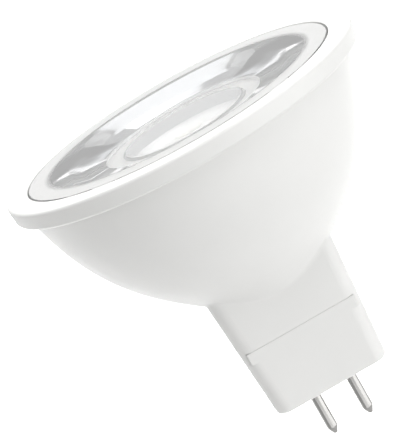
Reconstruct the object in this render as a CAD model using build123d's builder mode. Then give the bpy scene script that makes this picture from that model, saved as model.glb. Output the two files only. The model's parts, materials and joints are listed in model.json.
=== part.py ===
# LED spotlight bulb: a 50 mm reflector lamp on a plug base with two bare pins.
# Millimetres and degrees. The origin is the middle of the base's end face, +Z runs along the beam
# towards the lens, and the two pins point down -Z, side by side along X.
import os
from math import atan2, cos, degrees, hypot, radians, sin, sqrt, tan

from build123d import *

os.makedirs("parts", exist_ok=True)

# Rim and bowl of the housing
front_height = 40.5  # base end face to the front of the rim
rim_diameter = 50.0
rim_taper = 0.2  # the rim's band narrows by this much towards the bowl, on each side
rim_band_height = 2.5
rim_edge_radius = 0.5
rim_back_radius = 0.45  # outer edge of the rim's underside
rim_mouth_radius = 0.15  # inner edge, around the lens
rim_ring_width = 3.17  # from the rim's outside to the lens's seat
rim_step = 1.8  # from the rim's outside to the top of the bowl's curve
bowl_top_lean = 11.5  # slope off the axis just under the rim
bowl_foot_diameter = 18.0
bowl_foot_height = 16.2
bowl_foot_slope = 39.0  # slope off the horizontal where the bowl runs into the neck
bowl_top_pull = 0.485  # handles of the bowl's curve, as shares of its chord
bowl_foot_pull = 0.27
crease_radius = 0.8  # where the bowl runs into the neck
wall = 1.4
rib_count = 8
rib_thickness = 1.2
rib_clearance = 0.25  # between the ribs and the metal cup

# Neck block and base cap
base_width = 16.0  # at the end face, along X
base_depth = 13.2  # at the end face, along Y
base_draft = 3.75
base_corner_radius = 1.9
base_edge_radius = 0.5
neck_reach = 2.5  # how far the block runs up into the bowl
least_corner_radius = 0.4
seam_height = 8.1  # parting line at the narrow sides
tongue_height = 1.6  # how far the cap's tongues rise above it on the broad sides
tongue_width = 15.8
tongue_edge_radius = 0.2
seam_gap = 0.03
cap_floor = 1.6
collar_height = 4.2  # the collar inside the neck, above the parting line
collar_thickness = 0.9
collar_clearance = 0.12
snap_height = 0.3
snap_length = 5.0
snap_width = 0.8
snap_rise = 2.6  # middle of the snap ridge above the parting line
snap_clearance = 0.1

# Contact pins
pin_diameter = 1.5
pin_spacing = 5.33
pin_length = 7.6  # free length below the end face
pin_tip_length = 1.0
pin_tip_diameter = 0.5
pin_shank_diameter = 1.8  # pressed into the cap's floor
pin_collar_diameter = 2.6
pin_collar_thickness = 0.8
pin_tail_diameter = 1.4
pin_tail_length = 4.2  # above the cap's floor
pin_fit = 0.02

# Lens
lens_clearance = 0.1
lens_recess = 0.1  # front face below the rim
lens_flange_thickness = 3.2
lens_flange_width = 1.49  # from the seat to the top of the slanting wall
lens_wall_foot_turn = 2.7  # how much shallower the wall's lower band is than its chord
lens_wall_top_turn = 2.0  # how much steeper its upper band is
lens_wall_blend = 20.0  # radius between the two bands
lens_foot_diameter = 22.4
lens_foot_height = 2.35
lens_depth = 12.0  # front face to the foot
lens_cavity_diameter = 16.4
lens_cavity_height = 3.2  # dome over the light source
lens_edge_radius = 0.25

# Metal cup behind the lens
cup_thickness = 0.6
cup_bend_radius = 0.3
cup_lens_gap = 0.3  # square to the lens's slanting wall
cup_clearance = 0.15

# Light source
led_board_clearance = 0.2
led_board_margin = 0.1  # board beyond the lens's foot
led_board_thickness = 1.0
led_board_skin = 0.25  # over the wires' ends
thermal_pad_thickness = 0.3
led_substrate_size = 5.0
led_substrate_thickness = 0.5
led_phosphor_diameter = 4.0
led_phosphor_thickness = 0.2

# Driver board and its rails in the cap
driver_board_thickness = 1.0
driver_board_margin = 2.5  # from the base's narrow sides
driver_board_headroom = 3.55  # below the metal cup
rail_width = 0.8
rail_overlap = 0.6
rail_length = 7.0
rail_clearance = 0.1

# Wound and tall components, on the pins' side of the driver board. Lengths and rows along the board are
# shares of its length, offsets are shares of half its width, and diameters are shares of the room in front.
capacitor_row_share = 0.335  # the capacitors' lower ends
capacitor_crimp = 0.25
capacitor_crimp_height = 1.2
capacitor_edge_radius = 0.3
capacitor_lead_diameter = 0.5
capacitor_lead_drop = 1.3
capacitor_gap = 0.1
input_capacitor_diameter_share = 0.95
input_capacitor_length_share = 0.3
input_capacitor_offset_share = -0.47
output_capacitor_diameter_share = 0.8
output_capacitor_length_share = 0.28
output_capacitor_offset_share = 0.51
inductor_diameter = 6.0
inductor_height_share = 0.9  # of the room in front
inductor_row_share = 0.82  # the drum's middle
inductor_flange = 0.9
inductor_post_diameter = 2.8
winding_recess = 0.4  # the winding inside the drum's flanges
winding_clearance = 0.05
solder_diameter = 2.4
solder_length = 2.2
solder_film = 0.1  # between a pin and the board

# Flat components, on the other side of the driver board. Their places are shares of half the board's width
# and of its length, and their heights are shares of the room behind it.
bridge_rectifier_size = (3.9, 4.7)
bridge_rectifier_height_share = 0.93
bridge_rectifier_place_share = (0.0, 0.18)
bridge_rectifier_lead_count = 2  # on each side
driver_chip_size = (3.9, 4.9)
driver_chip_height_share = 0.64
driver_chip_place_share = (0.0, 0.475)
driver_chip_lead_count = 4
flyback_diode_size = (4.3, 2.6)
flyback_diode_height_share = 0.85
flyback_diode_place_share = (-0.33, 0.735)
flyback_diode_lead_count = 1
chip_resistor_size = (1.25, 2.0)
chip_resistor_height_share = 0.21
chip_resistor_place_shares = [(0.52, 0.735), (0.82, 0.735)]
chip_capacitor_size = (1.25, 2.0)
chip_capacitor_height_share = 0.38
chip_capacitor_place_shares = [(-0.8, 0.41), (-0.8, 0.55), (0.8, 0.475)]
package_draft = 7.0
lead_width = 0.45
diode_lead_width = 1.4
lead_thickness = 0.25
lead_reach = 1.0

# Wires between the driver and the light source
wire_diameter = 1.2
wire_spacing = 4.4
wire_drop = 1.7  # the wires' lower ends below the top of the driver board
wire_bend_radius = 3.0
wire_clearance = 0.05
bushing_diameter = 2.2
bushing_flange_diameter = 3.2
bushing_flange_thickness = 0.5

# Places that follow from the sizes above
rim_radius = rim_diameter / 2
bowl_top_radius = rim_radius - rim_step
bowl_top_height = front_height - rim_band_height
lens_seat_radius = rim_radius - rim_ring_width
lens_front = front_height - lens_recess
lens_flange_foot = lens_front - lens_flange_thickness
lens_foot = lens_front - lens_depth
lens_radius = lens_seat_radius - lens_clearance
lens_wall_top = (lens_seat_radius - lens_flange_width, lens_flange_foot)
lens_wall_foot = (lens_foot_diameter / 2, lens_foot + lens_foot_height)
lens_wall_run = lens_wall_top[0] - lens_wall_foot[0]
lens_wall_rise = lens_wall_top[1] - lens_wall_foot[1]
lens_wall_slope = degrees(atan2(lens_wall_rise, lens_wall_run))
lens_foot_slope = lens_wall_slope - lens_wall_foot_turn
lens_top_slope = lens_wall_slope + lens_wall_top_turn
cup_ledge = lens_flange_foot - cup_thickness
cup_flange_radius = lens_seat_radius - cup_clearance
led_board_radius = lens_foot_diameter / 2 + led_board_margin
led_board_foot = lens_foot - led_board_thickness
cup_floor_top = led_board_foot - thermal_pad_thickness
cup_floor_foot = cup_floor_top - cup_thickness
cup_well_radius = led_board_radius + led_board_clearance
tongue_top = seam_height + tongue_height
collar_top = seam_height + collar_height
collar_inset = wall + collar_clearance
cap_inset = collar_inset + collar_thickness
snap_middle = seam_height + snap_rise
pin_places = [(-pin_spacing / 2, 0), (pin_spacing / 2, 0)]
pin_top = cap_floor + pin_tail_length
board_foot = cap_floor + pin_collar_thickness
board_length = cup_floor_foot - driver_board_headroom - board_foot
board_width = base_width - 2 * driver_board_margin
board_front = pin_tail_diameter / 2 + pin_fit + solder_film
board_back = board_front + driver_board_thickness
front_room = base_depth / 2 - cap_inset + board_front
back_room = base_depth / 2 - cap_inset - board_back
wire_start_height = board_foot + board_length - wire_drop
wire_ring_radius = (lens_cavity_diameter + lens_foot_diameter) / 4  # under the lens's foot
wire_offset = sqrt(wire_ring_radius**2 - (wire_spacing / 2) ** 2)
wire_places = [(wire_spacing / 2, wire_offset), (-wire_spacing / 2, wire_offset)]


def moved(point, angle, distance):
    """The point moved along a direction, given in degrees from the horizontal."""
    return (point[0] + distance * cos(radians(angle)), point[1] + distance * sin(radians(angle)))


def bowl_outline(inset):
    """Control points of the bowl's curve from rim to neck, moved inwards by inset."""
    top = moved((bowl_top_radius, bowl_top_height), 180 - bowl_top_lean, inset)
    foot = moved((bowl_foot_diameter / 2, bowl_foot_height), 90 + bowl_foot_slope, inset)
    chord = hypot(top[0] - foot[0], top[1] - foot[1])
    top_handle = moved(top, 270 - bowl_top_lean, chord * bowl_top_pull)
    foot_handle = moved(foot, bowl_foot_slope, chord * bowl_foot_pull)
    return top, top_handle, foot_handle, foot


def draw_bowl(inset):
    """Draw the half section inside the bowl's curve, up to the front and down into the neck."""
    top, top_handle, foot_handle, foot = bowl_outline(inset)
    tip_radius = base_depth / 2 - wall
    tip_height = foot[1] - (foot[0] - tip_radius) * tan(radians(bowl_foot_slope))
    Bezier(top, top_handle, foot_handle, foot)
    Polyline(foot, (tip_radius, tip_height), (0, tip_height), (0, front_height), (top[0], front_height), top)


def neck_half_width(height, inset):
    """Half of the neck block's width along X at a height, moved inwards by inset."""
    return base_width / 2 + height * tan(radians(base_draft)) - inset


def neck_section(height, inset, corner=base_corner_radius):
    """Rounded section of the drafted neck block at a height, moved inwards by inset."""
    grow = 2 * (height * tan(radians(base_draft)) - inset)
    corner = max(corner - inset, least_corner_radius)
    with BuildSketch(Plane.XY.offset(height)) as section:
        RectangleRounded(base_width + grow, base_depth + grow, corner)
    return section.sketch


def wall_knee(gap):
    """Corner between the two bands of the lens's wall, followed at a distance from the wall."""
    foot_rise = tan(radians(lens_wall_foot_turn))
    top_rise = tan(radians(lens_wall_top_turn))
    along = hypot(lens_wall_run, lens_wall_rise) * top_rise / (foot_rise + top_rise)
    knee = moved(moved(lens_wall_foot, lens_wall_slope, along), lens_wall_slope - 90, along * foot_rise)
    half_turn = (lens_wall_foot_turn + lens_wall_top_turn) / 2
    return moved(knee, (lens_foot_slope + lens_top_slope) / 2 - 90, gap / cos(radians(half_turn)))


def upper_band_radius(height, gap):
    """Radius at a height of the wall's upper band, followed at a distance from the wall."""
    knee = wall_knee(gap)
    return knee[0] + (height - knee[1]) / tan(radians(lens_top_slope))


def lower_band_height(radius, gap):
    """Height at a radius of the wall's lower band, followed at a distance from the wall."""
    knee = wall_knee(gap)
    return knee[1] + (radius - knee[0]) * tan(radians(lens_foot_slope))


# Rib inside the bowl, under the metal cup
rib_gap = cup_lens_gap + cup_thickness + rib_clearance
rib_inner_radius = cup_well_radius + cup_thickness + rib_clearance
rib_top = cup_ledge - rib_clearance

with BuildPart() as rib:
    with BuildSketch(Plane.XZ):
        with BuildLine():
            draw_bowl(wall / 2)
        make_face()
        with BuildLine():
            Polyline(
                (rib_inner_radius, 0),
                (rib_inner_radius, lower_band_height(rib_inner_radius, rib_gap)),
                wall_knee(rib_gap),
                (upper_band_radius(rib_top, rib_gap), rib_top),
                (rim_radius, rib_top),
                (rim_radius, 0),
                close=True,
            )
        make_face(mode=Mode.INTERSECT)
    extrude(amount=rib_thickness / 2, both=True)

# Housing: rim, bowl and neck in one moulding
mouth_radius = upper_band_radius(cup_ledge, cup_lens_gap + cup_thickness) + cup_clearance
with BuildPart() as housing:
    with BuildSketch(Plane.XZ):
        with BuildLine():
            draw_bowl(0)
        make_face()
        with BuildLine():
            Polyline(
                (0, bowl_top_height),
                (rim_radius - rim_taper, bowl_top_height),
                (rim_radius, front_height),
                (0, front_height),
                close=True,
            )
        make_face()
    revolve(axis=Axis.Z)
    fillet(edges().group_by(Axis.Z)[-1], rim_edge_radius)
    rim_back = edges().filter_by(GeomType.CIRCLE).filter_by_position(Axis.Z, bowl_top_height, bowl_top_height)
    fillet(rim_back.sort_by(SortBy.RADIUS)[-1], rim_back_radius)
    neck_top = bowl_foot_height + neck_reach
    loft(sections=[neck_section(seam_height + seam_gap, 0), neck_section(neck_top, 0)])
    fillet(edges(Select.NEW), crease_radius)
    with BuildSketch(Plane.XZ):
        with BuildLine():
            draw_bowl(wall)
        make_face()
        with Locations((0, front_height / 2)):
            Rectangle(2 * mouth_radius, front_height, mode=Mode.INTERSECT)
    revolve(axis=Axis.Z, mode=Mode.SUBTRACT)
    with PolarLocations(0, rib_count, start_angle=180 / rib_count):
        add(rib.part)
    with BuildSketch(Plane.XY.offset(cup_ledge)):
        Circle(lens_seat_radius)
    extrude(amount=front_height - cup_ledge, mode=Mode.SUBTRACT)
    fillet(edges().group_by(Axis.Z)[-1].sort_by(SortBy.RADIUS)[0], rim_mouth_radius)
    pocket_top = bowl_outline(wall)[3][1] + wall
    loft(sections=[neck_section(0, wall), neck_section(pocket_top, wall)], mode=Mode.SUBTRACT)
    with BuildSketch(Plane.XY.offset(seam_height)):
        Rectangle(tongue_width, 2 * base_depth)
    extrude(amount=tongue_height + seam_gap, mode=Mode.SUBTRACT)
    with Locations((0, 0, snap_middle)):
        Box(
            2 * (neck_half_width(snap_middle, wall) + snap_height + snap_clearance),
            snap_length + 2 * snap_clearance,
            snap_width + 2 * snap_clearance,
            mode=Mode.SUBTRACT,
        )
housing.part.label = "housing"
export_step(housing.part, "parts/housing.step")

# Lens: flat front, seating flange, slanting wall in two bands, and a domed cavity over the light source
with BuildPart() as lens:
    with BuildSketch(Plane.XZ):
        with BuildLine():
            crown = (0, lens_foot + lens_cavity_height)
            cavity_edge = (lens_cavity_diameter / 2, lens_foot)
            TangentArc(crown, cavity_edge, tangent=(1, 0))
            Polyline(cavity_edge, (lens_wall_foot[0], lens_foot), lens_wall_foot)
            FilletPolyline(lens_wall_foot, wall_knee(0), lens_wall_top, radius=lens_wall_blend)
            Polyline(
                lens_wall_top,
                (lens_radius, lens_flange_foot),
                (lens_radius, lens_front),
                (0, lens_front),
                crown,
            )
        make_face()
    revolve(axis=Axis.Z)
    fillet(edges().group_by(Axis.Z)[-1], lens_edge_radius)
lens.part.label = "lens"
export_step(lens.part, "parts/lens.step")

# Heat sink: pressed aluminium cup with a seating flange, two bands that follow the lens, a well and a floor
outer_bend_radius = cup_bend_radius + cup_thickness
with BuildPart() as heat_sink:
    with BuildSketch(Plane.XZ):
        with BuildLine():
            FilletPolyline(
                (0, cup_floor_top),
                (cup_well_radius, cup_floor_top),
                (cup_well_radius, lower_band_height(cup_well_radius, cup_lens_gap)),
                wall_knee(cup_lens_gap),
                (upper_band_radius(lens_flange_foot, cup_lens_gap), lens_flange_foot),
                (cup_flange_radius, lens_flange_foot),
                radius=[cup_bend_radius, outer_bend_radius, lens_wall_blend + cup_lens_gap, outer_bend_radius],
            )
            offset(amount=cup_thickness, side=Side.RIGHT)
        make_face()
    revolve(axis=Axis.Z)
    with BuildSketch(Plane.XY.offset(cup_floor_foot)):
        with Locations(*wire_places):
            Circle(bushing_diameter / 2 + wire_clearance)
    extrude(amount=cup_thickness, mode=Mode.SUBTRACT)
heat_sink.part.label = "heat_sink"
export_step(heat_sink.part, "parts/heat_sink.step")


def wired_disc(radius, height, thickness, skin):
    """A flat disc with the two holes for the wires, which stop under a skin if it has one."""
    with BuildPart() as disc:
        with BuildSketch(Plane.XY.offset(height)):
            Circle(radius)
        extrude(amount=thickness)
        with BuildSketch(Plane.XY.offset(height)):
            with Locations(*wire_places):
                Circle(wire_diameter / 2 + wire_clearance)
        extrude(amount=thickness - skin, mode=Mode.SUBTRACT)
    return disc


# Thermal pad under the led board, inside the bend of the cup's well
thermal_pad = wired_disc(led_board_radius - cup_bend_radius, cup_floor_top, thermal_pad_thickness, 0)
thermal_pad.part.label = "thermal_pad"
export_step(thermal_pad.part, "parts/thermal_pad.step")

# Led board: the white disc that the lens stands on, with the wires joined to its underside
led_board = wired_disc(led_board_radius, led_board_foot, led_board_thickness, led_board_skin)
led_board.part.label = "led_board"
export_step(led_board.part, "parts/led_board.step")

# Light source: ceramic carrier and the phosphor layer on it
with BuildPart() as led_substrate:
    with BuildSketch(Plane.XY.offset(lens_foot)):
        RectangleRounded(led_substrate_size, led_substrate_size, least_corner_radius)
    extrude(amount=led_substrate_thickness)
led_substrate.part.label = "led_substrate"
export_step(led_substrate.part, "parts/led_substrate.step")

with BuildPart() as led_phosphor:
    with BuildSketch(Plane.XY.offset(lens_foot + led_substrate_thickness)):
        Circle(led_phosphor_diameter / 2)
    extrude(amount=led_phosphor_thickness)
    fillet(edges().group_by(Axis.Z)[-1], led_phosphor_thickness / 2)
led_phosphor.part.label = "led_phosphor"
export_step(led_phosphor.part, "parts/led_phosphor.step")

# Tongues of the base cap, flat plates that close the notches in the neck's broad sides
with BuildPart() as tongues:
    loft(sections=[neck_section(seam_height, 0, 0), neck_section(tongue_top, 0, 0)])
    with Locations((0, 0, seam_height)):
        Box(
            tongue_width - 2 * seam_gap,
            2 * base_depth,
            tongue_height,
            align=(Align.CENTER, Align.CENTER, Align.MIN),
            mode=Mode.INTERSECT,
        )
    upright = edges().filter_by(Axis.X, reverse=True).filter_by(Axis.Y, reverse=True)
    fillet(upright, tongue_edge_radius)

# Base cap: drafted cup with a collar that snaps into the neck, pin holes and rails for the board
rail_reach = board_width / 2 - rail_overlap
rail_root = neck_half_width(cap_floor, collar_inset)
rail_offset = driver_board_thickness / 2 + rail_clearance + rail_width / 2
rail_places = [
    (side * (rail_reach + rail_root) / 2, (board_front + board_back) / 2 + face * rail_offset, cap_floor)
    for side in (-1, 1)
    for face in (-1, 1)
]
with BuildPart() as base_cap:
    loft(sections=[neck_section(0, 0), neck_section(seam_height, 0)])
    fillet(faces().sort_by(Axis.Z)[0].edges(), base_edge_radius)
    add(tongues.part)
    loft(sections=[neck_section(seam_height, collar_inset), neck_section(collar_top, collar_inset)])
    with Locations((0, 0, snap_middle)):
        Box(2 * (neck_half_width(snap_middle, wall) + snap_height), snap_length, snap_width)
    loft(sections=[neck_section(cap_floor, cap_inset), neck_section(collar_top, cap_inset)], mode=Mode.SUBTRACT)
    with Locations(*rail_places):
        Box(
            rail_root - rail_reach,
            rail_width,
            rail_length,
            align=(Align.CENTER, Align.CENTER, Align.MIN),
        )
    with BuildSketch(Plane.XY):
        with Locations(*pin_places):
            Circle(pin_shank_diameter / 2 + pin_fit)
    extrude(amount=cap_floor, mode=Mode.SUBTRACT)
base_cap.part.label = "base_cap"
export_step(base_cap.part, "parts/base_cap.step")

# Contact pins: pointed tip, a shank in the cap's floor, a collar on it and a tail beside the driver board
for side, place in zip(("left", "right"), pin_places):
    with BuildPart() as contact_pin:
        with BuildSketch(Plane(origin=(*place, 0), x_dir=(1, 0, 0), z_dir=(0, -1, 0))):
            with BuildLine():
                Polyline(
                    (0, -pin_length),
                    (pin_tip_diameter / 2, -pin_length),
                    (pin_diameter / 2, pin_tip_length - pin_length),
                    (pin_diameter / 2, 0),
                    (pin_shank_diameter / 2, 0),
                    (pin_shank_diameter / 2, cap_floor),
                    (pin_collar_diameter / 2, cap_floor),
                    (pin_collar_diameter / 2, board_foot),
                    (pin_tail_diameter / 2, board_foot),
                    (pin_tail_diameter / 2, pin_top),
                    (0, pin_top),
                    close=True,
                )
            make_face()
        revolve(axis=Axis((*place, 0), (0, 0, 1)))
    contact_pin.part.label = "contact_pin_" + side
    export_step(contact_pin.part, "parts/contact_pin_" + side + ".step")

# Solder joints between the pins' tails and the driver board
with BuildPart() as pin_solder:
    with BuildSketch(Plane.XY.offset(pin_top - solder_length)):
        with Locations(*pin_places):
            Circle(solder_diameter / 2)
            Circle(pin_tail_diameter / 2 + pin_fit, mode=Mode.SUBTRACT)
        with Locations((0, board_front + solder_diameter / 2)):
            Rectangle(base_width, solder_diameter, mode=Mode.SUBTRACT)
    extrude(amount=solder_length)
pin_solder.part.label = "pin_solder"
export_step(pin_solder.part, "parts/pin_solder.step")

# Driver board, standing on the pins' collars between the cap's rails
with BuildPart() as driver_board:
    with BuildSketch(Plane.XY.offset(board_foot)):
        with Locations((0, (board_front + board_back) / 2)):
            Rectangle(board_width, driver_board_thickness)
    extrude(amount=board_length)
driver_board.part.label = "driver_board"
export_step(driver_board.part, "parts/driver_board.step")


def board_place(across, along):
    """X and Z of a place on the driver board, from shares of half its width and of its length."""
    return across * board_width / 2, board_foot + along * board_length


def electrolytic(diameter_share, length_share, offset_share):
    """A can with a crimped end, lying along the board's pin side, with two bent leads."""
    radius = diameter_share * front_room / 2
    length = length_share * board_length
    middle = board_front - capacitor_gap - radius
    offset_x, row_height = board_place(offset_share, capacitor_row_share)
    foot = (offset_x, middle, row_height)
    lead_height = row_height - capacitor_lead_drop
    with BuildPart() as capacitor:
        with BuildSketch(Plane(origin=foot, x_dir=(1, 0, 0), z_dir=(0, -1, 0))):
            with BuildLine():
                Polyline(
                    (0, 0),
                    (radius, 0),
                    (radius, capacitor_crimp_height - capacitor_crimp),
                    (radius - capacitor_crimp, capacitor_crimp_height),
                    (radius, capacitor_crimp_height + capacitor_crimp),
                    (radius, length),
                    (0, length),
                    close=True,
                )
            make_face()
        revolve(axis=Axis(foot, (0, 0, 1)))
        fillet(edges().group_by(Axis.Z)[-1], capacitor_edge_radius)
        for lead_x in (offset_x - radius / 2, offset_x + radius / 2):
            with BuildLine() as lead_path:
                FilletPolyline(
                    (lead_x, middle, row_height),
                    (lead_x, middle, lead_height),
                    (lead_x, board_front, lead_height),
                    radius=capacitor_lead_diameter,
                )
            with BuildSketch(Plane(origin=(lead_x, middle, row_height), z_dir=(0, 0, -1))):
                Circle(capacitor_lead_diameter / 2)
            sweep(path=lead_path.line)
    return capacitor


# Smoothing capacitors
input_capacitor = electrolytic(
    input_capacitor_diameter_share,
    input_capacitor_length_share,
    input_capacitor_offset_share,
)
input_capacitor.part.label = "input_capacitor"
export_step(input_capacitor.part, "parts/input_capacitor.step")

output_capacitor = electrolytic(
    output_capacitor_diameter_share,
    output_capacitor_length_share,
    output_capacitor_offset_share,
)
output_capacitor.part.label = "output_capacitor"
export_step(output_capacitor.part, "parts/output_capacitor.step")

# Inductor: ferrite drum standing on the board, and the copper winding between its flanges
inductor_x, inductor_z = board_place(0, inductor_row_share)
inductor_plane = Plane(origin=(inductor_x, board_front, inductor_z), x_dir=(1, 0, 0), z_dir=(0, -1, 0))
drum_radius = inductor_diameter / 2
drum_height = inductor_height_share * front_room
with BuildPart() as inductor_core:
    with BuildSketch(inductor_plane):
        Circle(drum_radius)
    extrude(amount=inductor_flange)
    with BuildSketch(inductor_plane.offset(drum_height - inductor_flange)):
        Circle(drum_radius)
    extrude(amount=inductor_flange)
    with BuildSketch(inductor_plane):
        Circle(inductor_post_diameter / 2)
    extrude(amount=drum_height)
inductor_core.part.label = "inductor_core"
export_step(inductor_core.part, "parts/inductor_core.step")

with BuildPart() as inductor_winding:
    with BuildSketch(inductor_plane.offset(inductor_flange + winding_clearance)):
        Circle(drum_radius - winding_recess)
        Circle(inductor_post_diameter / 2 + winding_clearance, mode=Mode.SUBTRACT)
    extrude(amount=drum_height - 2 * (inductor_flange + winding_clearance))
inductor_winding.part.label = "inductor_winding"
export_step(inductor_winding.part, "parts/inductor_winding.step")


def flat_package(size, height_share, place_share, lead_count, lead_width):
    """A moulded package on the board's other side, with bent leads along its two long sides."""
    width, length = size
    height = height_share * back_room
    place_x, place_z = board_place(*place_share)
    lead_root = width / 2 - lead_reach / 2
    lead_knee = width / 2 + lead_reach / 2
    lead_pitch = length / lead_count
    lead_top = height / 2
    plane = Plane(origin=(place_x, board_back, place_z), x_dir=(1, 0, 0), z_dir=(0, 1, 0))
    with BuildPart() as package:
        with BuildSketch(plane):
            Rectangle(width, length)
        extrude(amount=height, taper=package_draft)
        for index in range(lead_count):
            along = (index + 0.5) * lead_pitch - length / 2 - lead_width / 2
            side_plane = Plane(
                origin=plane.from_local_coords((0, along, 0)),
                x_dir=plane.x_dir,
                z_dir=plane.y_dir,
            )
            with BuildSketch(side_plane):
                with BuildLine():
                    Polyline(
                        (lead_root, -lead_top),
                        (lead_knee, -lead_top),
                        (lead_knee, -lead_thickness),
                        (width / 2 + lead_reach, -lead_thickness),
                        (width / 2 + lead_reach, 0),
                        (lead_knee - lead_thickness, 0),
                        (lead_knee - lead_thickness, lead_thickness - lead_top),
                        (lead_root, lead_thickness - lead_top),
                        close=True,
                    )
                make_face()
                mirror(about=Plane.YZ)
            extrude(amount=lead_width)
    return package


def chip_group(size, height_share, place_shares):
    """Plain chips without leads, one at each place on the board's other side."""
    with BuildPart() as chips:
        with BuildSketch(Plane(origin=(0, board_back, 0), x_dir=(-1, 0, 0), z_dir=(0, 1, 0))):
            with Locations(*[board_place(-across, along) for across, along in place_shares]):
                Rectangle(*size)
        extrude(amount=height_share * back_room)
    return chips


# Rectifier, driver chip and diode
packages = {
    "bridge_rectifier": (
        bridge_rectifier_size,
        bridge_rectifier_height_share,
        bridge_rectifier_place_share,
        bridge_rectifier_lead_count,
        lead_width,
    ),
    "driver_chip": (
        driver_chip_size,
        driver_chip_height_share,
        driver_chip_place_share,
        driver_chip_lead_count,
        lead_width,
    ),
    "flyback_diode": (
        flyback_diode_size,
        flyback_diode_height_share,
        flyback_diode_place_share,
        flyback_diode_lead_count,
        diode_lead_width,
    ),
}
for package_name, settings in packages.items():
    flat_part = flat_package(*settings)
    flat_part.part.label = package_name
    export_step(flat_part.part, "parts/" + package_name + ".step")

# Chip resistors and chip capacitors
sense_resistors = chip_group(chip_resistor_size, chip_resistor_height_share, chip_resistor_place_shares)
sense_resistors.part.label = "sense_resistors"
export_step(sense_resistors.part, "parts/sense_resistors.step")

ceramic_capacitors = chip_group(chip_capacitor_size, chip_capacitor_height_share, chip_capacitor_place_shares)
ceramic_capacitors.part.label = "ceramic_capacitors"
export_step(ceramic_capacitors.part, "parts/ceramic_capacitors.step")

# Bushings where the wires pass the cup's floor
with BuildPart() as wire_bushings:
    with BuildSketch(Plane.XY.offset(cup_floor_foot - bushing_flange_thickness)):
        with Locations(*wire_places):
            Circle(bushing_flange_diameter / 2)
    extrude(amount=bushing_flange_thickness)
    with BuildSketch(Plane.XY.offset(cup_floor_foot)):
        with Locations(*wire_places):
            Circle(bushing_diameter / 2)
    extrude(amount=cup_thickness)
    with BuildSketch(Plane.XY.offset(cup_floor_top)):
        with Locations(*wire_places):
            Circle(wire_diameter / 2 + wire_clearance)
    extrude(amount=-cup_thickness - bushing_flange_thickness, mode=Mode.SUBTRACT)
wire_bushings.part.label = "wire_bushings"
export_step(wire_bushings.part, "parts/wire_bushings.step")

# Lead wires from the driver board to the led board
for polarity, place in zip(("positive", "negative"), wire_places):
    with BuildPart() as lead_wire:
        with BuildLine() as wire_path:
            FilletPolyline(
                (place[0], board_back, wire_start_height),
                (place[0], place[1], wire_start_height),
                (place[0], place[1], lens_foot - led_board_skin),
                radius=wire_bend_radius,
            )
        with BuildSketch(Plane(origin=(place[0], board_back, wire_start_height), z_dir=(0, 1, 0))):
            Circle(wire_diameter / 2)
        sweep(path=wire_path.line)
    lead_wire.part.label = "lead_wire_" + polarity
    export_step(lead_wire.part, "parts/lead_wire_" + polarity + ".step")
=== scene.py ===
import json
from math import cos, pi, radians, sin

import bpy
from bpy.props import FloatProperty, FloatVectorProperty, IntProperty, PointerProperty
from mathutils import Matrix, Vector


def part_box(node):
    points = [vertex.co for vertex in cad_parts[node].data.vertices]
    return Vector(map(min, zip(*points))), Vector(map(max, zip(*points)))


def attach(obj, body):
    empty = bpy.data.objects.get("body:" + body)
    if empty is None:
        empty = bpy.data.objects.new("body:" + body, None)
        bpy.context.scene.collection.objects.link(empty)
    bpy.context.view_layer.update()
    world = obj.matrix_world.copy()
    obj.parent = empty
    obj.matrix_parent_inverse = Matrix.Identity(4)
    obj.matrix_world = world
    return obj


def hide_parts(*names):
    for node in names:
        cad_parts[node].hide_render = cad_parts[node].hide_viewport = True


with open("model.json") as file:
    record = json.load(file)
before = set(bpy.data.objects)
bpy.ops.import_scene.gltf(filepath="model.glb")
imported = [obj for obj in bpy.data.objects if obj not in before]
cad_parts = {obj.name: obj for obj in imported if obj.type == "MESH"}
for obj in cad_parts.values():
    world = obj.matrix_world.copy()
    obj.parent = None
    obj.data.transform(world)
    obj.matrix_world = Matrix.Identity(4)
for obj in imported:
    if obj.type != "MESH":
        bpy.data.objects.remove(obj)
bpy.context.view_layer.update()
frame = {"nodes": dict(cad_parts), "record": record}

bl_info = {
    "name": "LED Spotlight Bulb",
    "version": (1, 0, 0),
    "blender": (4, 5, 0),
    "location": "View3D > Sidebar > Spotlight",
    "description": "Dresses the packed LED spotlight bulb and sets up its studio",
    "category": "Object",
}

MM = 0.001  # metres in a millimetre
LENS_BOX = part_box("lens")
PIN_NODES = ("contact_pin_left", "contact_pin_right")
PIN_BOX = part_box(PIN_NODES[0])
SLOT_OF = {part["node"]: part["material_slot"] for part in frame["record"]["subparts"]}

# The photograph's view: a long lens, a little above the rim, rolled so that the lamp leans to the left
VIEW_TARGET = Vector((-4.403, 0.0, 26.321)) * MM
VIEW_DISTANCE = 350.0 * MM
VIEW_ELEVATION = radians(13.503)
VIEW_ROLL = radians(29.79)
VIEW_LENS = 221.85  # millimetres, on a sensor 36 mm wide
VIEW_SENSOR = 36.0
VIEW_CLIP_START = 10.0 * MM

# Modelling
SAME_POINT = 0.0005 * MM  # points that are nearer than this are one
EDGE_SEGMENTS = 4  # faces across a small rounding
KNEE_SEGMENTS = 8  # faces across the rounding between the two bands of the lens's wall
LEVEL_NORMAL = 0.98  # least upward part of the normal of a level face
FROSTED_PLACE = 1  # places in the lens's list of finishes, after the clear one
ETCHED_PLACE = 2

# Finishes
POLYCARBONATE_IOR = 1.58
ACRYLIC_IOR = 1.49
WHITE = "#FFFFFF"
NOISE_SPAN = {"From Min": 0.3, "From Max": 0.7}  # where most values of a noise lie

# Sockets of a Mix node for colours, given by number because its kinds share their names
MIX_FACTOR = 0
MIX_FIRST = 6
MIX_SECOND = 7
MIX_RESULT = 2

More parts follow.
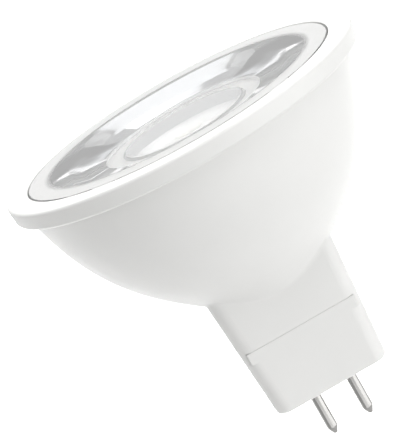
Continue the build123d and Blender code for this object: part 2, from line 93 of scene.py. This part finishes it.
# Soft panels: azimuth and elevation in degrees, distance and sides in metres. Azimuth 0 is the camera's
# side, and 90 is the lamp's right.
LIGHT_AIM = Vector((0, 0, 25 * MM))  # the point in the bowl that they face
PANELS = {
    "overhead": (90, 78, 0.35, (0.5, 0.5)),
    "softbox": (0, 43, 0.45, (1.5, 0.24)),
    "low_front": (-4, -36, 0.36, (0.4, 0.16)),
    "low_left": (-120, -14, 0.5, (0.4, 0.3)),
    "low_right": (58, -14, 0.5, (0.6, 0.3)),
    "back": (180, 30, 0.8, (1.8, 0.95)),
}

# Lamps that shine straight down on the floor, one on each side: elevation, distance and sides as above
FLOOR_LAMP = (33, 1.65, (1.6, 2.0))
FLOOR_LAMP_SPREAD = radians(70)
FLOOR_LAMP_AZIMUTHS = (180, 90, 0, -90)
FAR_AZIMUTH = 180


def linear(hex_colour):
    """An sRGB hex colour as linear red, green, blue and alpha."""
    channels = []
    for place in (1, 3, 5):
        value = int(hex_colour[place : place + 2], 16) / 255
        channels.append(value / 12.92 if value <= 0.04045 else ((value + 0.055) / 1.055) ** 2.4)
    return channels + [1.0]


def length(name, description, default):
    """A length property, given in millimetres and kept in metres."""
    return FloatProperty(
        name=name,
        description=description,
        default=default * MM,
        unit="LENGTH",
        precision=5,
    )


def angle(name, description, default):
    """An angle property, given in degrees and kept in radians."""
    return FloatProperty(name=name, description=description, default=radians(default), subtype="ANGLE")


def colour(name, description, default):
    """A colour property, given as an sRGB hex value."""
    return FloatVectorProperty(
        name=name,
        description=description,
        default=linear(default),
        size=4,
        subtype="COLOR",
    )


def level(name, description, default):
    """How bright a light is, where 1 is mirrored as pure white."""
    return FloatProperty(name=name, description=description, default=default)


class LensSizes(bpy.types.PropertyGroup):
    """Sizes of the collimator lens, beside the ones of its node. Depths start at the node's front."""

    clear_radius: length("Clear radius", "Where the frosted ring of the front begins to fade in", 18.3)
    frost_fade: length("Frost fade", "Width over which the frosted ring fades in", 1.0)
    edge_rounding: length("Edge rounding", "Rounding of the front edge", 0.3)
    seat_shim: length("Seat shim", "How far the front stands above its node, flush with the rim", 0.09)
    flange_thickness: length("Flange thickness", "Depth of the seat on the metal cup", 3.2)
    wall_top_radius: length("Wall top radius", "Top of the slanting wall, under the flange", 20.34)
    knee_radius: length("Knee radius", "Where the wall's two bands meet", 15.217)
    knee_depth: length("Knee depth", "Depth at which the two bands meet", 7.089)
    knee_blend: length("Knee blend", "How far the rounding between the bands reaches", 0.82)
    foot_radius: length("Foot radius", "Foot ring on the light source's board", 11.2)
    wall_depth: length("Wall depth", "Depth of the lower end of the slanting wall", 9.65)
    cavity_radius: length("Cavity radius", "Mouth of the cavity over the light source", 8.9)
    window_radius: length("Window radius", "Flat window at the top of the cavity", 8.6)
    window_depth: length("Window depth", "Depth of the window", 10.25)
    window_rounding: length("Window rounding", "Rounding round the window", 0.15)
    flat_margin: length("Flat margin", "From a rounded edge to where the flat face beside it ends", 0.35)
    bond: length("Bond", "Depth of the clear glue that joins the foot to the board", 0.01)
    smooth_angle: angle("Smooth angle", "Edges that turn by less are shaded smooth", 20)
    steps: IntProperty(name="Steps", description="Faces round the lens", default=256, min=16)


class PinSizes(bpy.types.PropertyGroup):
    """Sizes of the contact pins, beside the ones that their nodes in the frame give."""

    radius: length("Radius", "Free length of a pin, from its axis", 0.75)
    tip_length: length("Tip length", "Tapered end of a pin", 1.0)
    tip_radius: length("Tip radius", "Flat at the end of the taper", 0.25)
    shank_radius: length("Shank radius", "Part that is pressed into the cap's floor", 0.9)
    shank_top: length("Shank top", "Upper side of the cap's floor", 1.6)
    collar_radius: length("Collar radius", "Collar on the cap's floor", 1.3)
    collar_top: length("Collar top", "Where the driver board stands", 2.4)
    tail_radius: length("Tail radius", "Soldered end of a pin", 0.7)
    edge_rounding: length("Edge rounding", "Rounding of a pin's edges", 0.12)
    smooth_angle: angle("Smooth angle", "Edges that turn by less are shaded smooth", 35)
    steps: IntProperty(name="Steps", description="Faces round a pin", default=64, min=12)


class FinishColours(bpy.types.PropertyGroup):
    """Colours of the finishes that show from outside, most with the shade that clouds them."""

    plastic: colour("Plastic", "White moulded housing and cap", "#E4E4E2")
    plastic_shade: colour("Plastic shade", "Cloudiness of the plastic", "#DFDFDD")
    acrylic: colour("Acrylic", "Clear lens", "#FDFEFE")
    frost: colour("Frost", "Frosted ring of the lens", "#C4C4C3")
    frost_shade: colour("Frost shade", "Cloudiness of the frosted ring", "#CACAC9")
    # The etched wall's two greys are darkened as painted shade, so that the wall inside the cavity reads
    # shaded.
    etched: colour("Etched", "Etched wall of the lens's cavity", "#ACACAC")
    etched_cloud_painted_shade: colour("Etched shade", "Cloudiness of the etched wall", "#A6A6A6")
    aluminium: colour("Aluminium", "Bright cup behind the lens", "#DCDDDF")
    aluminium_shade: colour("Aluminium shade", "Rings in the bright cup", "#D2D3D5")
    nickel: colour("Nickel", "Plating of the contact pins", "#B0AFAD")
    nickel_shade: colour("Nickel shade", "Lines along the contact pins", "#A2A19F")
    board: colour("Board", "White board under the light source", "#F6F6F4")
    board_shade: colour("Board shade", "Cloudiness of the white board", "#EFEFEC")
    phosphor: colour("Phosphor", "Light-giving layer", "#F7F6EE")
    phosphor_shade: colour("Phosphor shade", "Cloudiness of the light-giving layer", "#F8F6EE")


class StudioSettings(bpy.types.PropertyGroup):
    """Floor and soft lights of the studio."""

    floor_size: length("Floor size", "Side of the floor", 6000.0)
    floor_drop: length("Floor drop", "How far the floor lies below the base", 250.0)
    floor_colour: colour("Floor", "Pale paper of the floor", "#D8D8D8")
    floor_shade: colour("Floor shade", "Cloudiness of the paper", "#D4D4D4")
    surround: level("Surround", "Light from all round", 0.34)
    overhead: level("Overhead", "Panel over the lamp", 1.8)
    softbox: level("Softbox", "Long box over the camera, which the cup mirrors as a bar", 0.92)
    low_front: level("Low front", "Low panel in front", 1.15)
    low_left: level("Low left", "Low panel behind, at the left", 0.15)
    low_right: level("Low right", "Low panel in front, at the right", 1.8)
    back: level("Back", "Panel behind the lamp", 0.9)
    backdrop: level("Backdrop", "Lamp over the floor behind", 3.0)
    floor_light: level("Floor light", "Lamps over the floor on the other sides", 0.38)


def add_node(tree, kind, inputs=None, **settings):
    """A new node with its settings, its inputs set to values or linked to other nodes' outputs."""
    node = tree.nodes.new(kind)
    for name, value in settings.items():
        setattr(node, name, value)
    for name, value in (inputs or {}).items():
        if isinstance(value, bpy.types.NodeSocket):
            tree.links.new(value, node.inputs[name])
        else:
            node.inputs[name].default_value = value
    return node


def new_surface(name):
    """A new material with its shader, as (material, node tree, shader)."""
    material = bpy.data.materials.new(name)
    material.use_nodes = True
    return material, material.node_tree, material.node_tree.nodes["Principled BSDF"]


def per_size(size_mm):
    """Scale of a texture on Object coordinates whose features have this size in millimetres."""
    return 1 / (size_mm * MM)


def axis_distance(tree):
    """How far each point of a surface lies from the lamp's axis, as an output."""
    place = add_node(tree, "ShaderNodeTexCoord").outputs["Object"]
    flat = add_node(tree, "ShaderNodeMapping", {"Vector": place, "Scale": (1, 1, 0)}).outputs["Vector"]
    return add_node(tree, "ShaderNodeVectorMath", {0: flat}, operation="LENGTH").outputs["Value"]


def mottled_surface(name, low, high, patch_mm, roughness, grain_mm, relief_mm, stretch=(1, 1, 1)):
    """Patches between two colours, with a fine grain in roughness and relief, as (material, shader)."""
    material, tree, shader = new_surface(name)
    place = add_node(tree, "ShaderNodeTexCoord").outputs["Object"]
    drawn = add_node(tree, "ShaderNodeMapping", {"Vector": place, "Scale": stretch}).outputs["Vector"]
    patches = add_node(
        tree,
        "ShaderNodeTexNoise",
        {"Vector": drawn, "Scale": per_size(patch_mm), "Detail": 3.0, "Roughness": 0.55},
    )
    grain = add_node(
        tree,
        "ShaderNodeTexNoise",
        {"Vector": drawn, "Scale": per_size(grain_mm), "Detail": 2.0, "Roughness": 0.5},
    )
    mixed = add_node(
        tree,
        "ShaderNodeMix",
        {MIX_FACTOR: patches.outputs["Fac"], MIX_FIRST: list(low), MIX_SECOND: list(high)},
        data_type="RGBA",
    )
    spread = add_node(
        tree,
        "ShaderNodeMapRange",
        {"Value": grain.outputs["Fac"], **NOISE_SPAN, "To Min": roughness[0], "To Max": roughness[1]},
    )
    relief = add_node(
        tree,
        "ShaderNodeBump",
        {"Height": grain.outputs["Fac"], "Strength": 1.0, "Distance": relief_mm * MM},
    )
    tree.links.new(mixed.outputs[MIX_RESULT], shader.inputs["Base Color"])
    tree.links.new(spread.outputs["Result"], shader.inputs["Roughness"])
    tree.links.new(relief.outputs["Normal"], shader.inputs["Normal"])
    return material, shader


def moulded_plastic(colours):
    """White polycarbonate from a finely eroded mould: satin, with a soft highlight and a faint grain."""
    material, shader = mottled_surface(
        "White moulded polycarbonate",
        colours.plastic,
        colours.plastic_shade,
        patch_mm=9.0,
        roughness=(0.38, 0.48),
        grain_mm=0.35,  # coarser than the real grain, so that it shows
        relief_mm=0.004,
    )
    shader.inputs["IOR"].default_value = POLYCARBONATE_IOR
    return material


def clear_acrylic(colours):
    """Polished clear acrylic: crisp refraction, with the least trace of haze in the moulding."""
    flow_mm = 4.0
    material, tree, shader = new_surface("Clear polished acrylic")
    place = add_node(tree, "ShaderNodeTexCoord").outputs["Object"]
    flow = add_node(
        tree,
        "ShaderNodeTexNoise",
        {"Vector": place, "Scale": per_size(flow_mm), "Detail": 2.0},
    )
    haze = add_node(
        tree,
        "ShaderNodeMapRange",
        {
            "Value": flow.outputs["Fac"],
            "From Min": 0.35,
            "From Max": 0.65,
            "To Min": 0.0,
            "To Max": 0.012,
        },
    )
    tint = add_node(
        tree,
        "ShaderNodeMix",
        {MIX_FACTOR: flow.outputs["Fac"], MIX_FIRST: list(colours.acrylic), MIX_SECOND: linear(WHITE)},
        data_type="RGBA",
    )
    tree.links.new(tint.outputs[MIX_RESULT], shader.inputs["Base Color"])
    tree.links.new(haze.outputs["Result"], shader.inputs["Roughness"])
    shader.inputs["IOR"].default_value = ACRYLIC_IOR
    shader.inputs["Transmission Weight"].default_value = 1.0
    return material


def frosted_acrylic(colours, sizes):
    """The same acrylic where the mould is blasted: a white ring that hides the seat and fades in."""
    material, shader = mottled_surface(
        "Frosted acrylic",
        colours.frost,
        colours.frost_shade,
        patch_mm=3.0,
        roughness=(0.48, 0.6),
        grain_mm=0.2,  # coarser than the real grain, so that it shows
        relief_mm=0.006,
    )
    tree = material.node_tree
    grained = shader.inputs["Roughness"].links[0].from_socket
    fade = {
        "Value": axis_distance(tree),
        "From Min": sizes.clear_radius,
        "From Max": sizes.clear_radius + sizes.frost_fade,
    }
    clear = add_node(tree, "ShaderNodeMapRange", {**fade, "To Min": 1.0, "To Max": 0.08})
    blasted = add_node(tree, "ShaderNodeMapRange", {**fade, "To Min": 0.1, "To Max": grained})
    tree.links.new(clear.outputs["Result"], shader.inputs["Transmission Weight"])
    tree.links.new(blasted.outputs["Result"], shader.inputs["Roughness"])
    shader.inputs["IOR"].default_value = ACRYLIC_IOR
    return material


def etched_acrylic(colours):
    """The same acrylic, etched on the cavity's wall: a grey darkened as painted shade, scattering the light
    it lets through.
    """
    # Its two greys are painted shade: darkened so that the cavity's wall reads shaded.
    material, shader = mottled_surface(
        "Etched acrylic",
        colours.etched,
        colours.etched_cloud_painted_shade,
        patch_mm=2.0,
        roughness=(0.42, 0.5),
        grain_mm=0.2,
        relief_mm=0.002,
    )
    shader.inputs["IOR"].default_value = ACRYLIC_IOR
    shader.inputs["Transmission Weight"].default_value = 0.5
    return material


def bright_aluminium(colours):
    """Spun and brightened aluminium: a mirror with faint rings round the axis."""
    ring_mm = 0.4
    material, tree, shader = new_surface("Bright spun aluminium")
    rings = add_node(
        tree,
        "ShaderNodeTexNoise",
        {"W": axis_distance(tree), "Scale": per_size(ring_mm), "Detail": 2.0},
        noise_dimensions="1D",
    )
    shade = add_node(
        tree,
        "ShaderNodeMix",
        {
            MIX_FACTOR: rings.outputs["Fac"],
            MIX_FIRST: list(colours.aluminium),
            MIX_SECOND: list(colours.aluminium_shade),
        },
        data_type="RGBA",
    )
    polish = add_node(
        tree,
        "ShaderNodeMapRange",
        {"Value": rings.outputs["Fac"], **NOISE_SPAN, "To Min": 0.05, "To Max": 0.09},
    )
    tree.links.new(shade.outputs[MIX_RESULT], shader.inputs["Base Color"])
    tree.links.new(polish.outputs["Result"], shader.inputs["Roughness"])
    shader.inputs["Metallic"].default_value = 1.0
    return material


def nickel_plate(colours):
    """Nickel on drawn brass wire: bright metal with fine lines along the pin."""
    material, shader = mottled_surface(
        "Nickel-plated drawn brass",
        colours.nickel,
        colours.nickel_shade,
        patch_mm=0.12,
        roughness=(0.14, 0.26),
        grain_mm=0.08,
        relief_mm=0.0006,
        stretch=(1, 1, 0.03),
    )
    shader.inputs["Metallic"].default_value = 1.0
    return material


def solder_mask_white(colours):
    """White solder mask on an aluminium board: smooth, slightly glossy, bright."""
    return mottled_surface(
        "White solder mask",
        colours.board,
        colours.board_shade,
        patch_mm=2.5,
        roughness=(0.3, 0.42),
        grain_mm=0.3,
        relief_mm=0.002,
    )[0]


def phosphor_silicone(colours):
    """Pale phosphor in cast silicone: a soft, powdery layer of warm white."""
    return mottled_surface(
        "Phosphor in silicone",
        colours.phosphor,
        colours.phosphor_shade,
        patch_mm=0.8,
        roughness=(0.42, 0.55),
        grain_mm=0.1,
        relief_mm=0.002,
    )[0]


# Finishes of the pieces inside: name, two colours, patch, roughness, grain, relief and metallic, with the
# patch, the grain and the relief in millimetres. The ceramic is fired and chalky, the filled silicone dull,
# the solder bright with a frozen skin, the board's mask glossy over its weave, the sleeve a tight film, the
# ferrite a dark sintered powder, the enamelled copper warm and shiny, the epoxy dull from its mould, the
# chips fired, the bushing soft and the insulation smooth.
INNER_FINISHES = {
    "white_ceramic": ("Fired alumina", "#F4F4F0", "#EFEFEA", 0.6, (0.5, 0.62), 0.08, 0.002, 0.0),
    "thermal_silicone": ("Filled silicone pad", "#8E9197", "#7F838A", 0.9, (0.6, 0.75), 0.12, 0.006, 0.0),
    "solder": ("Frozen solder", "#B9BBBE", "#A7A9AD", 0.5, (0.2, 0.38), 0.15, 0.004, 1.0),
    "green_board": ("Green mask on glass weave", "#1F6B3A", "#195C31", 0.5, (0.25, 0.4), 0.3, 0.004, 0.0),
    "capacitor_sleeve": ("Shrink sleeve", "#23263A", "#1B1E2F", 1.5, (0.28, 0.4), 0.4, 0.003, 0.0),
    "ferrite": ("Sintered ferrite", "#3A3A3D", "#2C2C2F", 0.3, (0.5, 0.68), 0.1, 0.006, 0.0),
    "copper": ("Enamelled copper", "#B5693F", "#9C5632", 0.25, (0.18, 0.3), 0.12, 0.008, 1.0),
    "black_epoxy": ("Moulded epoxy", "#262628", "#1D1D1F", 0.4, (0.55, 0.7), 0.08, 0.004, 0.0),
    "chip_ceramic": ("Fired chip ceramic", "#A88A63", "#957850", 0.3, (0.5, 0.65), 0.06, 0.003, 0.0),
    "bushing_rubber": ("Silicone rubber", "#DAD9D5", "#CFCEC9", 0.8, (0.55, 0.7), 0.15, 0.003, 0.0),
    "wire_red": ("Red wire insulation", "#A32A26", "#94231F", 0.7, (0.35, 0.48), 0.15, 0.002, 0.0),
    "wire_black": ("Black wire insulation", "#202021", "#181819", 0.7, (0.35, 0.48), 0.15, 0.002, 0.0),
}
OUTER_FINISHES = {
    "white_plastic": moulded_plastic,
    "bright_aluminium": bright_aluminium,
    "white_board": solder_mask_white,
    "phosphor": phosphor_silicone,
}


def inner_finish(slot):
    """The finish of a piece inside, from its row of the table."""
    name, low, high, patch, roughness, grain, relief, metallic = INNER_FINISHES[slot]
    material, shader = mottled_surface(name, linear(low), linear(high), patch, roughness, grain, relief)
    shader.inputs["Metallic"].default_value = metallic
    return material


def finish_nodes(context, nodes):
    """Give each CAD node the finish of its slot, made once for each slot."""
    made = {}
    for node in nodes:
        slot = SLOT_OF[node]
        if slot not in made and slot in OUTER_FINISHES:
            made[slot] = OUTER_FINISHES[slot](context.scene.spotlight_colours)
        elif slot not in made:
            made[slot] = inner_finish(slot)
        slots = frame["nodes"][node].data.materials
        slots.clear()
        slots.append(made[slot])


def start_profile(name, point):
    """A new piece in edit mode: one selected vertex, the first point of a profile on the XZ plane."""
    bpy.ops.object.select_all(action="DESELECT")
    bpy.ops.mesh.primitive_plane_add(size=MM)
    piece = bpy.context.object
    piece.name = name
    piece.data.name = name
    bpy.ops.object.mode_set(mode="EDIT")
    bpy.ops.mesh.select_mode(type="VERT")
    bpy.ops.mesh.select_all(action="SELECT")
    bpy.ops.mesh.merge(type="CENTER")
    bpy.ops.transform.translate(value=(point[0], 0, point[1]))
    return piece


def draw_profile(points):
    """Extrude the selected vertex from point to point along the profile."""
    for (last_x, last_z), (next_x, next_z) in zip(points, points[1:]):
        step = (next_x - last_x, 0, next_z - last_z)
        bpy.ops.mesh.extrude_region_move(TRANSFORM_OT_translate={"value": step})


def round_corners(piece, corners):
    """Bevel corners of the profile, each given as its point, its reach and its segments."""
    for (corner_x, corner_z), reach, segments in corners:
        bpy.ops.mesh.select_all(action="DESELECT")
        bpy.ops.object.mode_set(mode="OBJECT")
        place = Vector((corner_x, 0, corner_z))
        for vertex in piece.data.vertices:
            vertex.select = (vertex.co - place).length < SAME_POINT
        bpy.ops.object.mode_set(mode="EDIT")
        bpy.ops.mesh.bevel(offset=reach, segments=segments, affect="VERTICES")


def spin_profile(steps, smooth_angle):
    """Turn the whole profile round the Z axis, close it and shade it smooth."""
    bpy.ops.mesh.select_all(action="SELECT")
    bpy.ops.mesh.spin(steps=steps, angle=2 * pi, center=(0, 0, 0), axis=(0, 0, 1))
    bpy.ops.mesh.select_all(action="SELECT")
    bpy.ops.mesh.remove_doubles(threshold=SAME_POINT)
    bpy.ops.mesh.normals_make_consistent(inside=False)
    bpy.ops.object.mode_set(mode="OBJECT")
    bpy.ops.object.shade_smooth_by_angle(angle=smooth_angle)


class SPOTLIGHT_OT_mouldings(bpy.types.Operator):
    """Finish the white housing and the base cap"""

    bl_idname = "spotlight.mouldings"
    bl_label = "White mouldings"

    def execute(self, context):
        finish_nodes(context, ("housing", "base_cap"))
        return {"FINISHED"}


class SPOTLIGHT_OT_cup(bpy.types.Operator):
    """Finish the bright metal cup behind the lens"""

    bl_idname = "spotlight.cup"
    bl_label = "Bright cup"

    def execute(self, context):
        finish_nodes(context, ("heat_sink",))
        return {"FINISHED"}


class SPOTLIGHT_OT_light_source(bpy.types.Operator):
    """Finish the board, the carrier, the phosphor and the pad of the light source"""

    bl_idname = "spotlight.light_source"
    bl_label = "Light source"

    def execute(self, context):
        finish_nodes(context, ("led_board", "led_substrate", "led_phosphor", "thermal_pad"))
        return {"FINISHED"}


class SPOTLIGHT_OT_lens(bpy.types.Operator):
    """Model the collimator lens with its frosted ring, its two-band wall and its etched cavity"""

    bl_idname = "spotlight.lens"
    bl_label = "Collimator lens"

    def execute(self, context):
        sizes = context.scene.spotlight_lens
        radius = LENS_BOX[1][0]
        node_front = LENS_BOX[1][2]
        front = node_front + sizes.seat_shim
        flange = node_front - sizes.flange_thickness
        wall_end = node_front - sizes.wall_depth
        window = node_front - sizes.window_depth
        foot = LENS_BOX[0][2] - sizes.bond
        front_edge = (radius, front)
        knee = (sizes.knee_radius, node_front - sizes.knee_depth)
        window_edge = (sizes.window_radius, window)
        points = [
            (0, front),
            (sizes.clear_radius, front),
            (radius - sizes.flat_margin, front),
            front_edge,
            (radius, flange),
            (sizes.wall_top_radius, flange),
            knee,
            (sizes.foot_radius, wall_end),
            (sizes.foot_radius, foot),
            (sizes.cavity_radius, foot),
            window_edge,
            (sizes.window_radius - sizes.flat_margin, window),
            (0, window),
        ]
        rounded = [
            (front_edge, sizes.edge_rounding, EDGE_SEGMENTS),
            (knee, sizes.knee_blend, KNEE_SEGMENTS),
            (window_edge, sizes.window_rounding, EDGE_SEGMENTS),
        ]
        lens = start_profile("collimator_lens", points[0])
        draw_profile(points)
        round_corners(lens, rounded)
        spin_profile(sizes.steps, sizes.smooth_angle)
        colours = context.scene.spotlight_colours
        lens.data.materials.append(clear_acrylic(colours))
        lens.data.materials.append(frosted_acrylic(colours, sizes))
        lens.data.materials.append(etched_acrylic(colours))
        for face in lens.data.polygons:
            away = face.center.xy.length
            if away > sizes.clear_radius and face.normal.z > LEVEL_NORMAL:
                face.material_index = FROSTED_PLACE
            elif sizes.window_radius < away < sizes.cavity_radius and foot < face.center.z < window:
                face.material_index = ETCHED_PLACE
        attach(lens, "root")
        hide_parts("lens")
        return {"FINISHED"}


class SPOTLIGHT_OT_pins(bpy.types.Operator):
    """Model a contact pin with a tapered, rounded tip, and copy it for the other one"""

    bl_idname = "spotlight.pins"
    bl_label = "Contact pins"

    def execute(self, context):
        sizes = context.scene.spotlight_pins
        lowest = PIN_BOX[0][2]
        highest = PIN_BOX[1][2]
        tip = (sizes.tip_radius, lowest)
        taper_end = (sizes.radius, lowest + sizes.tip_length)
        tail_end = (sizes.tail_radius, highest)
        points = [
            (0, lowest),
            tip,
            taper_end,
            (sizes.radius, 0),
            (sizes.shank_radius, 0),
            (sizes.shank_radius, sizes.shank_top),
            (sizes.collar_radius, sizes.shank_top),
            (sizes.collar_radius, sizes.collar_top),
            (sizes.tail_radius, sizes.collar_top),
            tail_end,
            (0, highest),
        ]
        rounded = [(corner, sizes.edge_rounding, EDGE_SEGMENTS) for corner in (tip, taper_end, tail_end)]
        first = start_profile(PIN_NODES[0] + "_plated", points[0])
        draw_profile(points)
        round_corners(first, rounded)
        spin_profile(sizes.steps, sizes.smooth_angle)
        first.data.materials.append(nickel_plate(context.scene.spotlight_colours))
        bpy.ops.object.duplicate()
        for node, pin in zip(PIN_NODES, (first, context.object)):
            low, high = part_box(node)
            bpy.ops.object.select_all(action="DESELECT")
            pin.select_set(True)
            bpy.ops.transform.translate(value=((low[0] + high[0]) / 2, 0, 0))
            bpy.ops.object.transform_apply(location=True, rotation=False, scale=False)
            pin.name = node + "_plated"
            pin.data.name = pin.name
            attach(pin, "root")
            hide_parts(node)
        return {"FINISHED"}


class SPOTLIGHT_OT_driver(bpy.types.Operator):
    """Finish the driver board, its components and its solder joints"""

    bl_idname = "spotlight.driver"
    bl_label = "Driver"

    def execute(self, context):
        finish_nodes(
            context,
            (
                "driver_board",
                "pin_solder",
                "input_capacitor",
                "output_capacitor",
                "inductor_core",
                "inductor_winding",
                "bridge_rectifier",
                "driver_chip",
                "flyback_diode",
                "sense_resistors",
                "ceramic_capacitors",
            ),
        )
        return {"FINISHED"}


class SPOTLIGHT_OT_wires(bpy.types.Operator):
    """Finish the lead wires and their bushings"""

    bl_idname = "spotlight.wires"
    bl_label = "Wires"

    def execute(self, context):
        finish_nodes(context, ("lead_wire_positive", "lead_wire_negative", "wire_bushings"))
        return {"FINISHED"}


def lay_floor(settings):
    """The pale paper under the lamp."""
    bpy.ops.object.select_all(action="DESELECT")
    bpy.ops.mesh.primitive_plane_add(size=settings.floor_size, location=(0, 0, -settings.floor_drop))
    floor = bpy.context.object
    floor.name = "studio_floor"
    paper = mottled_surface(
        "Pale studio paper",
        settings.floor_colour,
        settings.floor_shade,
        patch_mm=60.0,
        roughness=(0.85, 0.95),
        grain_mm=1.5,
        relief_mm=0.02,
    )[0]
    floor.data.materials.append(paper)


def add_panel(name, strength, azimuth, elevation, distance, sides):
    """A soft panel that faces the lamp and isn't seen by the camera."""
    turn = radians(azimuth)
    rise = radians(elevation)
    away = Vector((sin(turn) * cos(rise), -cos(turn) * cos(rise), sin(rise)))
    bpy.ops.object.select_all(action="DESELECT")
    bpy.ops.object.light_add(type="AREA", location=LIGHT_AIM + away * distance)
    panel = bpy.context.object
    panel.name = name
    panel.rotation_euler = away.to_track_quat("Z", "Y").to_euler()
    panel.visible_camera = False
    panel.data.shape = "RECTANGLE"
    panel.data.size, panel.data.size_y = sides
    panel.data.energy = strength * pi * sides[0] * sides[1]
    return panel


def hang_lights(context, settings):
    """The even light from all round, the soft panels and the lamps over the floor."""
    world = bpy.data.worlds.new("Studio surround")
    world.use_nodes = True
    context.scene.world = world
    surround = world.node_tree.nodes["Background"]
    surround.inputs["Color"].default_value = linear(WHITE)
    surround.inputs["Strength"].default_value = settings.surround
    for name, place in PANELS.items():
        add_panel(name + "_panel", getattr(settings, name), *place)
    for azimuth in FLOOR_LAMP_AZIMUTHS:
        strength = settings.backdrop if azimuth == FAR_AZIMUTH else settings.floor_light
        lamp = add_panel("floor_lamp", strength, azimuth, *FLOOR_LAMP)
        lamp.rotation_euler = (0, 0, 0)
        lamp.data.spread = FLOOR_LAMP_SPREAD


def aim_camera(context):
    """The camera at the photograph's angle and framing."""
    forward = Vector((0, cos(VIEW_ELEVATION), -sin(VIEW_ELEVATION)))
    upright = Vector((0, sin(VIEW_ELEVATION), cos(VIEW_ELEVATION)))
    across = Vector((1, 0, 0))
    right = across * cos(VIEW_ROLL) - upright * sin(VIEW_ROLL)
    up = across * sin(VIEW_ROLL) + upright * cos(VIEW_ROLL)
    bpy.ops.object.select_all(action="DESELECT")
    bpy.ops.object.camera_add()
    camera = context.object
    camera.name = "photo_view"
    placed = Matrix((right, up, -forward)).transposed().to_4x4()
    placed.translation = VIEW_TARGET - forward * VIEW_DISTANCE
    camera.matrix_world = placed
    camera.data.lens = VIEW_LENS
    camera.data.sensor_width = VIEW_SENSOR
    camera.data.clip_start = VIEW_CLIP_START
    context.scene.camera = camera


class SPOTLIGHT_OT_studio(bpy.types.Operator):
    """Set up the pale floor, the soft lights and the photograph's camera"""

    bl_idname = "spotlight.studio"
    bl_label = "Studio"

    def execute(self, context):
        settings = context.scene.spotlight_studio
        lay_floor(settings)
        hang_lights(context, settings)
        context.scene.view_settings.view_transform = "Standard"
        aim_camera(context)
        return {"FINISHED"}


class SPOTLIGHT_PT_panel(bpy.types.Panel):
    """Lists the lamp's pieces, sizes, colours and studio in the sidebar"""

    bl_idname = "SPOTLIGHT_PT_panel"
    bl_label = "LED Spotlight Bulb"
    bl_space_type = "VIEW_3D"
    bl_region_type = "UI"
    bl_category = "Spotlight"

    def draw(self, context):
        layout = self.layout
        for operator in OPERATORS:
            layout.operator(operator.bl_idname)
        for pointer, group in SETTINGS.items():
            box = layout.box()
            for name in group.__annotations__:
                box.prop(getattr(context.scene, pointer), name)


SETTINGS = {
    "spotlight_lens": LensSizes,
    "spotlight_pins": PinSizes,
    "spotlight_colours": FinishColours,
    "spotlight_studio": StudioSettings,
}
OPERATORS = (
    SPOTLIGHT_OT_mouldings,
    SPOTLIGHT_OT_cup,
    SPOTLIGHT_OT_light_source,
    SPOTLIGHT_OT_lens,
    SPOTLIGHT_OT_pins,
    SPOTLIGHT_OT_driver,
    SPOTLIGHT_OT_wires,
    SPOTLIGHT_OT_studio,
)


def register():
    """Register the settings, the operators and the panel."""
    for pointer, group in SETTINGS.items():
        bpy.utils.register_class(group)
        setattr(bpy.types.Scene, pointer, PointerProperty(type=group))
    for operator in OPERATORS:
        bpy.utils.register_class(operator)
    bpy.utils.register_class(SPOTLIGHT_PT_panel)


def unregister():
    """Take the panel, the operators and the settings away again."""
    bpy.utils.unregister_class(SPOTLIGHT_PT_panel)
    for operator in reversed(OPERATORS):
        bpy.utils.unregister_class(operator)
    for pointer, group in SETTINGS.items():
        delattr(bpy.types.Scene, pointer)
        bpy.utils.unregister_class(group)


def main():
    """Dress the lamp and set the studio."""
    register()
    bpy.ops.spotlight.mouldings()
    bpy.ops.spotlight.cup()
    bpy.ops.spotlight.light_source()
    bpy.ops.spotlight.lens()
    bpy.ops.spotlight.pins()
    bpy.ops.spotlight.driver()
    bpy.ops.spotlight.wires()
    bpy.ops.spotlight.studio()


if __name__ == "__main__":
    main()
